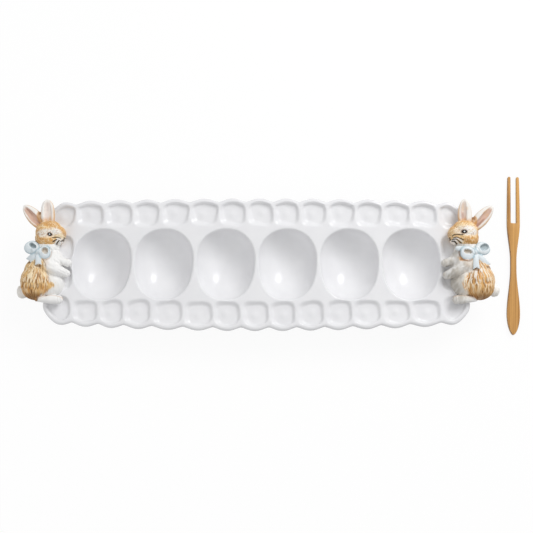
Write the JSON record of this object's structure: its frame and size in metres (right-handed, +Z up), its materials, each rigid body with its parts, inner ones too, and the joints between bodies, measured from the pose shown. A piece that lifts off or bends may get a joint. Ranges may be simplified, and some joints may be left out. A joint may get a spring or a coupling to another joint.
{
  "type": "deviled egg platter",
  "caption": "Long glazed ceramic platter with a row of egg wells, a scalloped thumbprint border, a seated rabbit at each end and a loose two-tined bamboo fork.",
  "frame": {"origin": "middle of the foot ring, on the table", "axes": "+X along the dish towards the loose fork, +Y towards the back edge, +Z up"},
  "size_m": [0.4577, 0.1491, 0.0431],
  "materials": {
    "glaze_white": "clear gloss glaze over white clay",
    "fur_tan": "hand painted ochre and brown under gloss glaze",
    "fur_white": "cream white under gloss glaze",
    "ear_pink": "hand painted pink and cream under gloss glaze",
    "bow_blue": "hand painted pale blue under gloss glaze",
    "bamboo": "satin carbonised bamboo"
  },
  "bodies": {
    "platter": {"dish": "glaze_white", "left_rabbit_body": "fur_tan", "left_rabbit_head": "fur_tan", "left_rabbit_near_ear": "ear_pink", "left_rabbit_far_ear": "ear_pink", "left_rabbit_bow": "bow_blue", "left_rabbit_near_foreleg": "fur_white", "left_rabbit_far_forepaw": "fur_white", "left_rabbit_hind_foot": "fur_white", "left_rabbit_tail": "fur_white", "right_rabbit_body": "fur_tan", "right_rabbit_head": "fur_tan", "right_rabbit_near_ear": "ear_pink", "right_rabbit_far_ear": "ear_pink", "right_rabbit_bow": "bow_blue", "right_rabbit_near_foreleg": "fur_white", "right_rabbit_far_forepaw": "fur_white", "right_rabbit_hind_foot": "fur_white", "right_rabbit_tail": "fur_white"},
    "fork": {"fork": "bamboo"}
  },
  "joints": [
    {"name": "fork_lift", "type": "slide", "parent": "platter", "child": "fork", "axis": [0, 0, 1], "range_m": [0, 0.12]}
  ]
}
